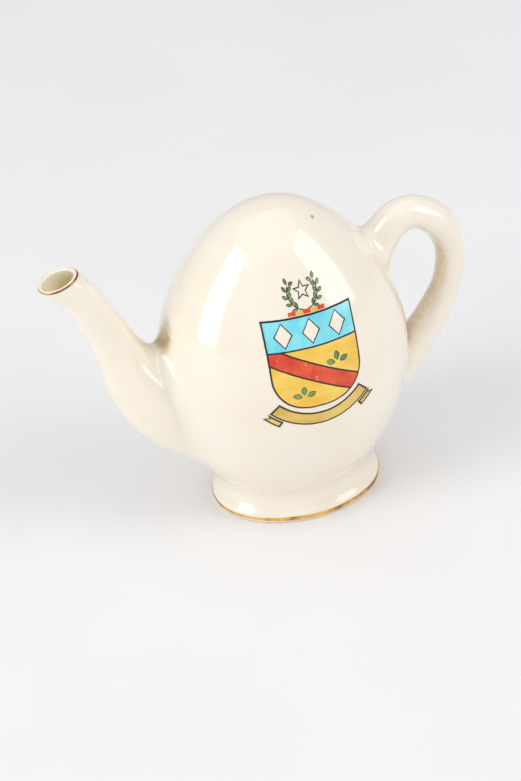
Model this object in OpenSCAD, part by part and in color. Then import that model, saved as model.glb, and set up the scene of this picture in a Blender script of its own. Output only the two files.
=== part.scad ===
// Miniature lidless souvenir teapot: an egg on an oval foot. Millimetres.
// The origin is the middle of the foot on the table. +Z is up, the spout points
// to -X, the handle to +X, and the painted badge faces -Y.

/* [Body] */
// Width of the body at its widest level, spout side to handle side
body_w = 47.6; // [44:0.1:58]
// Depth of the body, front to back
body_d = 40; // [36:0.1:48]
// Height of the widest level above the table
belly_z = 30.4; // [28:0.1:36.5]
// Rise from the widest level to the crown
crown_rise = 31.6; // [26:0.1:38]
// Radius of the crown
crown_r = 15.5; // [13:0.1:18]
// Fall from the widest level to where the egg's curve would close
base_fall = 32.6; // [29:0.1:36]
// Radius of the egg's lower end
base_r = 16; // [13:0.1:18]
// Thickness of the potted wall
wall = 2; // [1.4:0.1:2.6]
// Height where the egg is cut open over the foot
open_z = 3; // [2.5:0.1:4]

/* [Foot] */
// Width of the foot at its edge
foot_w = 32.7; // [30:0.1:40]
// Width of the waist over the foot
waist_w = 30; // [27:0.1:32]
// Radius of the hollow flare between the waist and the edge
flare_r = 4; // [3:0.1:6]
// Radius of the rounded lower edge
foot_edge_r = 0.4; // [0.2:0.05:0.8]
// Width of the ring that the pot stands on
foot_ring_w = 3.2; // [2.2:0.1:4]
// Thickness of the base plate that closes the egg
plate_t = 1.6; // [1.2:0.1:2]

/* [Filling tube] */
// Bore of the tube where it starts at the base plate
fill_bore_low = 9; // [7:0.1:11]
// Bore of the tube at its open upper end
fill_bore_high = 5; // [4:0.1:7]
// Height of the open upper end above the table
fill_top_z = 46; // [38:0.5:50]
// Wall of the tube
fill_wall = 1.5; // [1.2:0.1:2]

/* [Spout] */
// Radius of the spout just under its lip
spout_r = 3.5; // [3:0.1:4.5]
// Wall of the spout at its lip
lip_wall = 0.8; // [0.6:0.1:1.2]
// Wall of the spout at its root
root_wall = 2; // [1.4:0.1:2.4]
// Slope of the cut that ends the spout, down towards its tip
lip_slope = 15; // [0:1:25]
// Bore of the hole that joins the pot to the spout
pour_bore = 6; // [4:0.1:7]
// Height of that hole's axis
pour_z = 27; // [24:0.5:29]

/* [Handle] */
// Thickness of the handle as seen from the side
handle_t = 5.8; // [5:0.1:7]
// Thickness of the handle from front to back
handle_b = 6.2; // [5:0.1:8]

/* [Slip joints] */
// How far the slip worked round a joint stands out from it
slip_out = 1.2; // [0.6:0.1:1.6]

/* [Gilding and enamels] */
// Thickness of the gilt lines
gilt_t = 0.06; // [0.04:0.01:0.12]
// Width of the gilt lines
gilt_w = 0.75; // [0.5:0.05:1]
// Height of the bare edge under the gilt line of the foot
gilt_z = 0.5; // [0.45:0.05:0.8]
// Thickness of the badge's enamels
enamel_t = 0.08; // [0.05:0.01:0.15]
// Width of the printed outlines
line_w = 0.32; // [0.25:0.01:0.5]

/* [Badge] */
// Height of the shield's upper edge above the table
shield_z = 46.8; // [42:0.1:48]
// Width of the shield
shield_w = 17; // [14:0.1:20]
// Height of the shield
shield_h = 17.4; // [15:0.1:20]
// Height of the band across the shield's top
chief_h = 5.6; // [4:0.1:7]
// Width of the red bend that crosses the field
bend_w = 2.8; // [2:0.1:4]
// Width of the blank ribbon under the shield
ribbon_w = 2.3; // [1.8:0.1:2.6]

/* [Hidden] */

$fn = 96;
FAR = 60;                      // longer than any cut that has to pass through
STEPS = 4;                     // rings between two points of a swept route
SIDES = 28;                    // sides of a swept section
feather = 0.08;                // thickness of the slip where it thins out
oval = body_d / body_w;        // the pot is a round pot narrowed front to back
half_w = body_w / 2;

// The egg's outline is three tangent arcs on each side: crown, flank and lower end.
// The flank above and below the widest level has its centre at that level.
function flank_r(rise, end_r) =
    (half_w * half_w + rise * rise - 2 * rise * end_r) / (2 * (half_w - end_r));
upper_r = flank_r(crown_rise, crown_r);
lower_r = flank_r(base_fall, base_r);
upper_x = half_w - upper_r;
lower_x = half_w - lower_r;
crown_dz = crown_rise - crown_r;

// Half width of the egg's outside at height z.
join_up = upper_r * crown_dz / norm([upper_x, crown_dz]);
function egg_x(z) =
    let (h = z - belly_z)
    h > join_up ? sqrt(crown_r * crown_r - pow(h - crown_dz, 2))
    : h > 0 ? upper_x + sqrt(upper_r * upper_r - h * h)
    : lower_x + sqrt(lower_r * lower_r - h * h);

// The flare of the foot is a hollow arc, tangent to the egg's lower flank.
flare_x = waist_w / 2 + flare_r;
waist_z = belly_z - sqrt(pow(lower_r + flare_r, 2) - pow(flare_x - lower_x, 2));
flare_top = waist_z + (belly_z - waist_z) * flare_r / (lower_r + flare_r);
flare_short = 0.8;
foot_in = foot_w / 2 - foot_ring_w;

// Routes: x, z and radius of a chain of points in the plane of symmetry.
spout_tip = [-40.9, 57];
SPOUT = [[spout_tip[0] - 1.8, spout_tip[1] + 2.3, spout_r],
         [spout_tip[0], spout_tip[1], spout_r],
         [-37.3, 52.8, spout_r + 0.05],
         [-33.9, 45.6, 3.8],
         [-31.3, 39, 4.6],
         [-28.4, 32.3, 6.3],
         [-24.2, 26.2, 7.6],
         [-18.5, 20.8, 7.8],
         [-10.5, 15.5, 7.4]];
HANDLE = [[16, 43.5, handle_t * 0.62],
          [20.6, 48.2, handle_t * 0.6],
          [24.2, 51.5, handle_t * 0.56],
          [28.4, 51.7, handle_t * 0.54],
          [32.7, 48.2, handle_t * 0.55],
          [34.5, 42.3, handle_t * 0.48],
          [33.5, 35.3, handle_t * 0.47],
          [30.1, 29, handle_t * 0.53],
          [25.6, 23.2, handle_t * 0.58],
          [21, 17.4, handle_t * 0.54],
          [15.3, 13.4, handle_t * 0.4]];

function blend(p0, p1, p2, p3, t) =
    (2 * p1 + (p2 - p0) * t + (2 * p0 - 5 * p1 + 4 * p2 - p3) * t * t
     + (3 * p1 - p0 - 3 * p2 + p3) * t * t * t) / 2;
function smooth(route) = [
    for (i = [0 : len(route) - 2]) for (k = [0 : STEPS - 1])
        blend(route[max(i - 1, 0)], route[i], route[i + 1],
              route[min(i + 2, len(route) - 1)], k / STEPS),
    route[len(route) - 1]];
function heading(path, i) =
    let (a = path[max(i - 1, 0)], b = path[min(i + 1, len(path) - 1)],
         d = [b[0] - a[0], b[1] - a[1]]) d / norm(d);
function ring(path, i, wide) =
    let (p = path[i], d = heading(path, i))
    [for (s = [0 : SIDES - 1]) let (a = 360 * s / SIDES)
        [p[0] - d[1] * p[2] * cos(a), wide * p[2] * sin(a), p[1] + d[0] * p[2] * cos(a)]];

// A solid rod along a path, closed at both ends. wide stretches it front to back.
module rod(path, wide = 1) {
    count = len(path);
    polyhedron(
        points = [for (i = [0 : count - 1]) each ring(path, i, wide)],
        faces = [
            [for (s = [0 : SIDES - 1]) s],
            [for (s = [0 : SIDES - 1]) count * SIDES - 1 - s],
            each skin(count, 0, true)]);
}
// The facets between the rings of one path, whose points start at index first.
function skin(count, first, outward) = [
    for (i = [0 : count - 2]) for (s = [0 : SIDES - 1])
        let (a = first + i * SIDES + s, b = first + i * SIDES + (s + 1) % SIDES)
        each outward ? [[b, a, a + SIDES], [b, a + SIDES, b + SIDES]]
                     : [[a, b, a + SIDES], [a + SIDES, b, b + SIDES]]];
// The flat end between the outer and the inner ring of a pipe.
function rim(outer, inner, outward) = [
    for (s = [0 : SIDES - 1]) let (t = (s + 1) % SIDES)
        each outward ? [[outer + s, outer + t, inner + t], [outer + s, inner + t, inner + s]]
                     : [[outer + t, outer + s, inner + t], [inner + t, outer + s, inner + s]]];
// A pipe along a path: the wall between an outer and an inner path of equal length.
module pipe(path, inside, wide = 1) {
    count = len(path);
    all = count * SIDES;
    polyhedron(
        points = [for (i = [0 : count - 1]) each ring(path, i, wide),
                  for (i = [0 : count - 1]) each ring(inside, i, wide)],
        faces = [
            each skin(count, 0, true),
            each skin(count, all, false),
            each rim(0, all, true),
            each rim(all - SIDES, 2 * all - SIDES, false)]);
}

// Outline of one side of the egg, moved out by grow.
module egg_outline(grow = 0) {
    up = belly_z + (upper_r + grow) * crown_dz / norm([upper_x, crown_dz]);
    intersection() {
        translate([upper_x, belly_z]) circle(upper_r + grow, $fn = 180);
        translate([0, belly_z]) square([FAR, up - belly_z]);
    }
    intersection() {
        translate([0, belly_z + crown_dz]) circle(crown_r + grow);
        translate([0, up]) square([FAR, FAR]);
    }
    intersection() {
        translate([lower_x, belly_z]) circle(lower_r + grow, $fn = 180);
        translate([0, open_z - FAR]) square([FAR, belly_z - open_z + FAR]);
        translate([0, 0.5]) square([FAR, belly_z]);
    }
}
// Turns an outline round the upright axis in four quarters, each narrowed front to back.
module turned() for (quarter = [0 : 3])
    scale([1, oval, 1]) rotate(90 * quarter) rotate_extrude(angle = 90) children();
module egg(grow = 0) turned() egg_outline(grow);

module body_shell() color("ivory") difference() {
    turned() difference() {
        egg_outline();
        egg_outline(-wall);
        square([FAR, open_z]);
    }
    translate([-half_w - 5, 0, pour_z]) rotate([0, 90, 0]) cylinder(d = pour_bore, h = half_w);
}

// The ring stops just short of that tangent point, where it would thin to nothing.
module foot_ring() color("ivory") turned() difference() {
    union() {
        translate([foot_in, foot_edge_r])
            square([foot_ring_w, flare_top - foot_edge_r - flare_short]);
        translate([foot_in, 0]) square([foot_ring_w - foot_edge_r, open_z]);
        translate([foot_w / 2 - foot_edge_r, foot_edge_r]) circle(foot_edge_r, $fn = 32);
    }
    translate([flare_x, waist_z]) circle(flare_r);
    translate([lower_x, belly_z]) circle(lower_r, $fn = 180);
}

module base_plate() color("ivory") difference() {
    turned() translate([0, open_z - plate_t]) square([foot_in, plate_t]);
    translate([0, 0, -1]) cylinder(d = fill_bore_low, h = open_z + 2);
}

module filling_tube() color("antiquewhite") rotate_extrude() polygon([
    [fill_bore_low / 2, open_z],
    [fill_bore_low / 2 + fill_wall, open_z],
    [fill_bore_high / 2 + fill_wall, fill_top_z],
    [fill_bore_high / 2, fill_top_z]]);

// The spout runs past its lip and is cut there by a sloping plane.
module above_lip() translate([spout_tip[0], 0, spout_tip[1]])
    rotate([0, -lip_slope, 0]) translate([-FAR / 2, -FAR / 2, 0]) cube(FAR);
function thicker(path, from, to) = [for (i = [0 : len(path) - 1])
    path[i] + [0, 0, from + (to - from) * i / (len(path) - 1)]];
module spout() color("ivory") difference() {
    pipe(smooth(SPOUT), thicker(smooth(SPOUT), -lip_wall, -root_wall));
    above_lip();
    egg();
}
module handle() color("ivory") difference() {
    rod(smooth(HANDLE), handle_b / handle_t);
    egg();
}

// Slip worked round a joint: a collar on the last stretch of a route. It starts
// as a feather edge and stands out by slip_out where it meets the egg.
function tail(path, count) = [for (i = [len(path) - count : len(path) - 1]) path[i]];
function head(path, count) = [for (i = [count - 1 : -1 : 0]) path[i]];
function flared(path, out) = [for (i = [0 : len(path) - 1])
    path[i] + [0, 0, feather + (out - feather) * pow(i / (len(path) - 1), 2)]];
module collar(path, wide = 1) color("ivory") difference() {
    pipe(flared(path, slip_out), path, wide);
    egg();
}
module spout_slip() collar(tail(smooth(SPOUT), 14));
module handle_slip_upper() collar(head(smooth(HANDLE), 8), handle_b / handle_t);
module handle_slip_lower() collar(tail(smooth(HANDLE), 10), handle_b / handle_t);

module gilt_foot_line() color("goldenrod") turned()
    translate([foot_w / 2, gilt_z]) square([gilt_t, gilt_w]);
// The gilding lies on the rim that the cut leaves, an oval because the cut is oblique.
lip_cos = abs(heading(smooth(SPOUT), STEPS) * [-sin(lip_slope), cos(lip_slope)]);
module lip_oval(r) polygon([for (s = [0 : SIDES - 1])
    [r / lip_cos * cos(360 * s / SIDES), r * sin(360 * s / SIDES)]]);
module gilt_lip_line() color("goldenrod")
    translate([spout_tip[0], 0, spout_tip[1]]) rotate([0, -lip_slope, 0])
        linear_extrude(gilt_t) difference() {
            lip_oval(spout_r);
            lip_oval(spout_r - lip_wall);
        }

// The badge is drawn flat, x to the handle side and y up, then laid on the front:
// its drawing is cut from a thin skin that follows the egg over the badge's place.
// The skin's facets are set a little off the drawing's corners, so that no two meet.
patch_x = [for (i = [0 : 16]) -12.13 + 1.52 * i];
patch_z = [for (k = [0 : 23]) shield_z - shield_h - 4.91 + 1.39 * k];
function patch_points(out) = [for (z = patch_z) for (x = patch_x)
    [x, -oval * sqrt(max(1, pow(egg_x(z), 2) - x * x)) - out, z]];
module skin_patch() {
    cols = len(patch_x);
    rows = len(patch_z);
    all = cols * rows;
    polyhedron(
        points = [each patch_points(0), each patch_points(enamel_t)],
        faces = [
            for (k = [0 : rows - 2]) for (i = [0 : cols - 2]) let (a = k * cols + i, b = a + cols)
                each [[a, b, b + 1], [a, b + 1, a + 1],
                      [all + a, all + b + 1, all + b], [all + a, all + a + 1, all + b + 1]],
            for (i = [0 : cols - 2]) let (t = all - cols)
                each [[i, i + 1, all + i + 1], [i, all + i + 1, all + i],
                      [t + i + 1, t + i, all + t + i], [t + i + 1, all + t + i, all + t + i + 1]],
            for (k = [0 : rows - 2]) let (l = k * cols, r = l + cols - 1)
                each [[l + cols, l, all + l], [l + cols, all + l, all + l + cols],
                      [r, r + cols, all + r + cols], [r, all + r + cols, all + r]]]);
}
module laid() intersection() {
    skin_patch();
    rotate([90, 0, 0]) linear_extrude(FAR) children();
}
// A printed line or a filled strip: a band of width w along points (x, z) on the front.
clear = 0.03;                  // kept between two layers that lie side by side
function on_front(p, out) = [p[0], -oval * sqrt(pow(egg_x(p[1]), 2) - p[0] * p[0]) - out, p[1]];
function left_of(a, b) = [a[1] - b[1], b[0] - a[0]] / norm(b - a);
// Where two stretches meet, the band's edge lies on the line that halves their angle.
function mitre(n1, n2) = let (m = (n1 + n2) / norm(n1 + n2)) m / (m * n1);
function edge_way(line, i, closed) =
    let (c = len(line), here = line[i], last = line[(i + c - 1) % c], next = line[(i + 1) % c])
    !closed && i == 0 ? left_of(here, next)
    : !closed && i == c - 1 ? left_of(last, here)
    : mitre(left_of(last, here), left_of(here, next));
module band(line, w = line_w, closed = false) {
    c = len(line);
    polyhedron(
        points = [for (i = [0 : c - 1]) let (p = line[i], e = edge_way(line, i, closed) * w / 2)
            each [on_front(p + e, 0), on_front(p - e, 0),
                  on_front(p - e, enamel_t), on_front(p + e, enamel_t)]],
        faces = [
            for (i = [0 : closed ? c - 1 : c - 2]) let (a = 4 * i, b = 4 * ((i + 1) % c))
                each [[a + 3, b + 3, b + 2], [a + 3, b + 2, a + 2],
                      [a, a + 1, b + 1], [a, b + 1, b],
                      [a, b, b + 3], [a, b + 3, a + 3],
                      [a + 1, a + 2, b + 2], [a + 1, b + 2, b + 1]],
            if (!closed) [0, 3, 2, 1],
            if (!closed) let (z = 4 * c - 4) [z, z + 1, z + 2, z + 3]]);
}
function straight(a, b, pieces) = [for (k = [0 : pieces]) a + (b - a) * k / pieces];
module stroke(a, b, w = line_w) {
    d = (b - a) / norm(b - a);
    n = [-d[1], d[0]] * w / 2;
    polygon([a + n, a - n, b - n, b + n]);
}
// Shield outline, moved out by grow: straight sides that round into a blunt point.
function shield_points(grow) =
    let (w = shield_w / 2 + grow, z = shield_z - shield_h * 0.6)
    [[-w, shield_z + grow],
     for (a = [180 : 7.5 : 360]) [w * sign(cos(a)) * pow(abs(cos(a)), 0.75),
                                  z + (shield_h * 0.4 + grow) * sin(a)],
     [w, shield_z + grow]];
module shield(grow = 0) polygon(shield_points(grow));
chief_z = shield_z - chief_h;
module chief() intersection() {
    shield(-line_w / 2);
    translate([-FAR / 2, chief_z + line_w / 2]) square([FAR, chief_h]);
}
module field() intersection() {
    shield(-line_w / 2);
    translate([-FAR / 2, chief_z - line_w / 2 - FAR]) square([FAR, FAR]);
}
bend_z = chief_z - 5.2;
bend_fall = 0.55;
module bend(w) stroke([-shield_w, bend_z + shield_w * bend_fall],
                      [shield_w, bend_z - shield_w * bend_fall], w);
// Half width of the shield inside its outline at height z, and the height of a line
// beside the bend, moved up by off, at x. The line's lower end is found by steps.
function shield_x(z) = let (low = shield_z - shield_h * 0.6, w = shield_w / 2 - line_w / 2 - clear)
    z > low ? w : w * pow(1 - pow((low - z) / (shield_h * 0.4), 2), 0.375);
function bend_at(off, x) = bend_z + off * norm([1, bend_fall]) - bend_fall * x;
function runs_out(off, x, more = 12) =
    more == 0 ? x : runs_out(off, (x + shield_x(bend_at(off, x))) / 2, more - 1);
function starts(off) = max(clear + line_w / 2 - shield_w / 2,
    (bend_z + off * norm([1, bend_fall]) - chief_z + line_w / 2 + clear) / bend_fall);
function bend_line(off) = let (a = starts(off) + line_w, b = runs_out(off, shield_w / 2) - line_w / 2)
    straight([a, bend_at(off, a)], [b, bend_at(off, b)], 9);
function lozenge_points(grow) = let (rx = 1.5 + grow, rz = 2.1 + grow)
    [[-rx, 0], [0, -rz], [rx, 0], [0, rz]];
LOZENGES = [-5.2, 0, 5.2];
lozenge_z = shield_z - chief_h / 2;
module lozenges(grow = 0) for (x = LOZENGES) translate([x, lozenge_z]) polygon(lozenge_points(grow));
// A leaf is two arcs, drawn from its stalk at the origin upwards, then leant over and
// moved to its place. side = -1 mirrors it.
function leaf_points(long, w) =
    let (r = (long * long + w * w) / 4 / w, h = asin(long / 2 / r))
    [for (k = [-3 : 2]) [w / 2 - r + r * cos(h * k / 3), long / 2 + r * sin(h * k / 3)],
     for (k = [3 : -1 : -2]) [r - w / 2 - r * cos(h * k / 3), long / 2 + r * sin(h * k / 3)]];
function put(points, at, lean, side = 1) = let (c = len(points))
    [for (i = [0 : c - 1]) let (p = points[side > 0 ? i : c - 1 - i],
        q = at + [p[0] * cos(lean) - p[1] * sin(lean), p[0] * sin(lean) + p[1] * cos(lean)])
        [side * q[0], q[1]]];
// A small filled outline laid on the front, as a fan of facets round its middle.
function total(v, i = 0) = i == len(v) - 1 ? v[i] : v[i] + total(v, i + 1);
module filled(points) {
    c = len(points);
    middle = total(points) / c;
    polyhedron(
        points = [for (out = [0, enamel_t]) each [for (p = points) on_front(p, out)],
                  on_front(middle, 0), on_front(middle, enamel_t)],
        faces = [for (i = [0 : c - 1]) let (n = (i + 1) % c)
            each [[i, n, 2 * c], [c + n, c + i, 2 * c + 1], [i, c + i, c + n], [i, c + n, n]]]);
}
SPRIGS = [[4, chief_z - 4.2], [-3, chief_z - 9.4]];
stalk = 0.45;                  // bare stalk under a leaf
function sprig_leaf(at, lean, grow = 0) =
    put(leaf_points(1.9 + 2 * grow, 1.1 + 2 * grow),
        at + (stalk - grow) * [-sin(lean), cos(lean)], lean);
// Two branches rise beside the star, with leaves on both sides.
branch_r = 2.8;
branch_z = shield_z + 1 + branch_r;
BRANCH = [for (k = [0 : 4]) -62 + k * 22.5];
function branch_leaf(side, a, lean) =
    let (at = [branch_r * cos(a), branch_z + branch_r * sin(a)], tilt = a + lean)
    put(leaf_points(1, 0.5), at + 0.3 * [-sin(tilt), cos(tilt)], tilt, side);
bar_z = shield_z + line_w;
bar_long = 1.4;
bar_high = 0.7;
function bar_x(i) = (i - 2.5) * bar_long;
module bar_block(i) translate([bar_x(i), bar_z]) square([bar_long, bar_high]);
function star_points(grow) = [for (k = [0 : 9])
    let (r = k % 2 == 0 ? 1.6 + grow * 2 : 0.7 + grow)
    [r * sin(36 * k), branch_z + 0.3 + r * cos(36 * k)]];
// The ribbon hangs in a shallow arc under the shield, and a folded end shows under
// each end of it.
ribbon_r = 12.5;
ribbon_z = shield_z - shield_h - 2.7 + ribbon_r;
ribbon_end = 43;
tail_w = 1;
tail_r = ribbon_r + ribbon_w / 2 + line_w * 1.5 + tail_w / 2 + 2 * clear;
TAIL = [32, 44];
function arc_of(r, from, to, pieces) = [for (k = [0 : pieces])
    let (a = from + (to - from) * k / pieces) [r * sin(a), ribbon_z - r * cos(a)]];
// The line round a strip of an arc: out along its lower edge and back along its upper.
function round_arc(r, w, from, to, pieces) = let (out = w / 2, more = (line_w / 2) * 180 / PI / r)
    [each arc_of(r + out, from - more, to + more, pieces),
     each arc_of(r - out, to + more, from - more, pieces)];

module badge_outline() color("black") {
    band(shield_points(0), closed = true);
    band(straight([-shield_x(chief_z), chief_z], [shield_x(chief_z), chief_z], 12));
    for (off = [-1, 1]) band(bend_line(off * (bend_w + line_w) / 2));
    for (x = LOZENGES)
        band([for (p = lozenge_points(line_w / 2)) p + [x, lozenge_z]], line_w * 0.9, true);
}
module crest_outline() color("black") {
    band(star_points(line_w / 4), line_w * 0.75, true);
    for (side = [-1, 1])
        band([for (a = [-80 : 12 : 28]) [side * branch_r * cos(a), branch_z + branch_r * sin(a)]], 0.22);
}
module ribbon_outline() color("black") {
    band(round_arc(ribbon_r, ribbon_w, -ribbon_end, ribbon_end, 12), closed = true);
    for (ends = [TAIL, [-TAIL[1], -TAIL[0]]])
        band(round_arc(tail_r, tail_w, ends[0], ends[1], 3), closed = true);
}
module badge_turquoise() color("turquoise") laid() difference() { chief(); lozenges(line_w); }
module badge_yellow() color("gold") laid() difference() {
    field();
    bend(bend_w + 2 * line_w);
    for (at = SPRIGS) for (lean = [-70, 0, 70]) polygon(sprig_leaf(at, lean, clear));
}
module badge_red() color("orangered") laid() {
    intersection() { field(); bend(bend_w); }
    for (i = [0, 2, 4]) bar_block(i);
}
module badge_green() color("seagreen") {
    for (at = SPRIGS) for (lean = [-70, 0, 70]) filled(sprig_leaf(at, lean));
    for (side = [1, -1]) for (a = BRANCH) for (lean = [-38, 38]) filled(branch_leaf(side, a, lean));
}
module badge_ribbon() color("khaki") {
    band(arc_of(ribbon_r, -ribbon_end, ribbon_end, 12), ribbon_w - line_w - clear);
    for (side = [-1, 1]) band(arc_of(tail_r, side * TAIL[0], side * TAIL[1], 3), tail_w - line_w - clear);
    for (i = [1, 3]) let (z = bar_z + bar_high / 2)
        band([[bar_x(i) + clear, z], [bar_x(i + 1) - clear, z]], bar_high - 2 * clear);
}

body_shell();
foot_ring();
base_plate();
filling_tube();
spout();
spout_slip();
handle();
handle_slip_upper();
handle_slip_lower();
gilt_foot_line();
gilt_lip_line();
badge_outline();
crest_outline();
ribbon_outline();
badge_turquoise();
badge_yellow();
badge_red();
badge_green();
badge_ribbon();
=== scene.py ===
# %% [markdown]
# # A miniature souvenir teapot
# This lesson dresses a small glazed teapot: an egg-shaped body on a flared oval foot, a
# swan-neck spout, a loop handle, worn gilt lines and a hand-filled badge on the front.
# The working model of the pot is already there, as a frame of plain parts in metres. It
# gives the places and the sizes, and this script gives every visible part its final
# surface. +Z is up, the spout points to -X, the handle to +X, and the badge faces -Y.

# %% Load the frame
from math import atan2, cos, degrees, hypot, pi, radians, sin, sqrt

import bpy
from mathutils import Matrix, Vector, noise


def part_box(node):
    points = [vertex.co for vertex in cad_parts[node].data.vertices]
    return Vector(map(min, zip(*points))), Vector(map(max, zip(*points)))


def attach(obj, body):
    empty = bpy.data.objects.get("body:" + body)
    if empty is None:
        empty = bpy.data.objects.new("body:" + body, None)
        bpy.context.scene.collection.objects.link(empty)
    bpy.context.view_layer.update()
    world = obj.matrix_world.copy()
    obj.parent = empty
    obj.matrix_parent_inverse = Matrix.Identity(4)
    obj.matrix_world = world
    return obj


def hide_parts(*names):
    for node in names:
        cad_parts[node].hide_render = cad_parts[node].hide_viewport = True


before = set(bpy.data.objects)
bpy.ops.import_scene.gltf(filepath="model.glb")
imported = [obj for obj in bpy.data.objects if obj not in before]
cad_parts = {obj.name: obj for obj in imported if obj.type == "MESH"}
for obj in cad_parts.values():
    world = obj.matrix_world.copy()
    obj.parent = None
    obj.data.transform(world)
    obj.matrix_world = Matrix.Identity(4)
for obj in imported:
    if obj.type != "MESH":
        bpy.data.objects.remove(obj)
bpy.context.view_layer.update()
MM = 0.001
PER_METRE = 1000.0
print("nodes in the frame:", sorted(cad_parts))

# %% [markdown]
# ## Sizes of the pot
# All lengths below are in millimetres and are turned into metres only when a point is
# placed. The egg is the surface that everything else stands on, so it is written as a
# formula: three arcs that touch, for the crown, the upper flank and the lower flank. The
# pot is a round pot narrowed front to back, so one number, OVAL, gives the depth.

# %% The egg as a formula
low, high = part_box("body_shell")
HALF_W = (high.x - low.x) / 2 / MM
OVAL = (high.y - low.y) / (high.x - low.x)
CROWN_Z = high.z / MM
BELLY_Z = 30.4
CROWN_R = 15.5
BASE_FALL, BASE_R = 32.6, 16.0
OPEN_Z = 3.0
WALL = 2.0


def flank_radius(rise, end_radius):
    return (HALF_W**2 + rise**2 - 2 * rise * end_radius) / (2 * (HALF_W - end_radius))


crown_rise = CROWN_Z - BELLY_Z
UPPER_R, LOWER_R = flank_radius(crown_rise, CROWN_R), flank_radius(BASE_FALL, BASE_R)
UPPER_X, LOWER_X = HALF_W - UPPER_R, HALF_W - LOWER_R
CROWN_DZ = crown_rise - CROWN_R
JOIN_UP = UPPER_R * CROWN_DZ / hypot(UPPER_X, CROWN_DZ)


def egg_half(z, grow=0.0):
    """Half width of the egg at height z, with its skin moved out by grow."""
    h = z - BELLY_Z
    if h > JOIN_UP * (UPPER_R + grow) / UPPER_R:
        return sqrt(max(0.0, (CROWN_R + grow) ** 2 - (h - CROWN_DZ) ** 2))
    if h > 0:
        return UPPER_X + sqrt((UPPER_R + grow) ** 2 - h * h)
    return LOWER_X + sqrt((LOWER_R + grow) ** 2 - h * h)


def outside(p):
    """How far point p is outside the egg, less than 0 when it is inside."""
    return sqrt(p.x**2 + (p.y / OVAL) ** 2) - egg_half(p.z)


def egg_normal(p, step=0.01):
    """Direction straight out of the egg at p."""
    return Vector([outside(p + step * axis) - outside(p - step * axis)
                   for axis in (Vector((1, 0, 0)), Vector((0, 1, 0)), Vector((0, 0, 1)))]).normalized()


def on_egg(p, lift=0.0, step=0.01, rounds=6):
    """The point of the egg's skin nearest to p, moved out by lift."""
    for _ in range(rounds):
        out = egg_normal(p)
        slope = (outside(p + step * out) - outside(p - step * out)) / (2 * step)
        p = p - out * (outside(p) / slope)
    return p + lift * egg_normal(p)


print(f"egg: {2 * HALF_W:.1f} wide, {2 * HALF_W * OVAL:.1f} deep, crown at {CROWN_Z:.1f}")

# %% [markdown]
# ## Picking things up
# Blender's operators act on whatever is selected, and a freshly loaded frame is selected
# all over. So each step first lets go of everything, then takes up one piece.

# %% Helpers for selecting
def let_go():
    if bpy.context.mode != "OBJECT":
        bpy.ops.object.mode_set(mode="OBJECT")
    bpy.ops.object.select_all(action="DESELECT")


def take_up(piece):
    let_go()
    piece.select_set(True)
    bpy.context.view_layer.objects.active = piece


def close_up(piece, gap=1e-7, angle=35):
    """Merge doubles, turn all faces outwards and shade the smooth stretches smooth."""
    take_up(piece)
    bpy.ops.object.mode_set(mode="EDIT")
    bpy.ops.mesh.select_all(action="SELECT")
    bpy.ops.mesh.remove_doubles(threshold=gap)
    bpy.ops.mesh.normals_make_consistent(inside=False)
    bpy.ops.object.mode_set(mode="OBJECT")
    bpy.ops.object.shade_smooth_by_angle(angle=radians(angle))
    print(f"{piece.name}: {len(piece.data.vertices)} points, {len(piece.data.polygons)} faces")


def belongs(piece, slot, *nodes):
    """The piece stands for these nodes of the frame and goes with the pot."""
    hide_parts(*nodes)
    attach(piece, "root")


# %% [markdown]
# ## Writing finishes as sums
# A finish is a network of nodes, and most of it is arithmetic. This small class wraps one
# output socket, so that a plain Python sum such as `1 - mask * 0.5` adds its Math nodes.

# %% A socket that can be added and multiplied
class Flow:
    def __init__(self, tree, socket):
        self.tree, self.socket = tree, socket

    def node(self, kind, inputs=(), output=0, **settings):
        """Add a node of this kind, set it up, feed its inputs, and wrap one output."""
        made = self.tree.nodes.new(kind)
        for name, value in settings.items():
            setattr(made, name, value)
        for name, value in dict(inputs).items():
            if isinstance(value, Flow):
                self.tree.links.new(value.socket, made.inputs[name])
            else:
                made.inputs[name].default_value = value
        return Flow(self.tree, made.outputs[output])

    def maths(self, operation, a, b):
        return self.node("ShaderNodeMath", {0: a, 1: b}, operation=operation)

    def __add__(self, other):
        return self.maths("ADD", self, other)

    def __sub__(self, other):
        return self.maths("SUBTRACT", self, other)

    def __rsub__(self, other):
        return self.maths("SUBTRACT", other, self)

    def __mul__(self, other):
        return self.maths("MULTIPLY", self, other)

    __radd__, __rmul__ = __add__, __mul__

    def between(self, start, end):
        """0 up to start, 1 from end on, and a soft step between them."""
        return self.node("ShaderNodeMapRange", {"Value": self, "From Min": start, "From Max": end},
                         interpolation_type="SMOOTHSTEP")

    def tint(self, low_colour, high_colour):
        """A colour that goes from low_colour where this is 0 to high_colour where it is 1."""
        return self.node("ShaderNodeMix", {0: self, 6: low_colour, 7: high_colour},
                         output=2, data_type="RGBA")


def rgb(r, g, b):
    return (r, g, b, 1.0)


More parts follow.
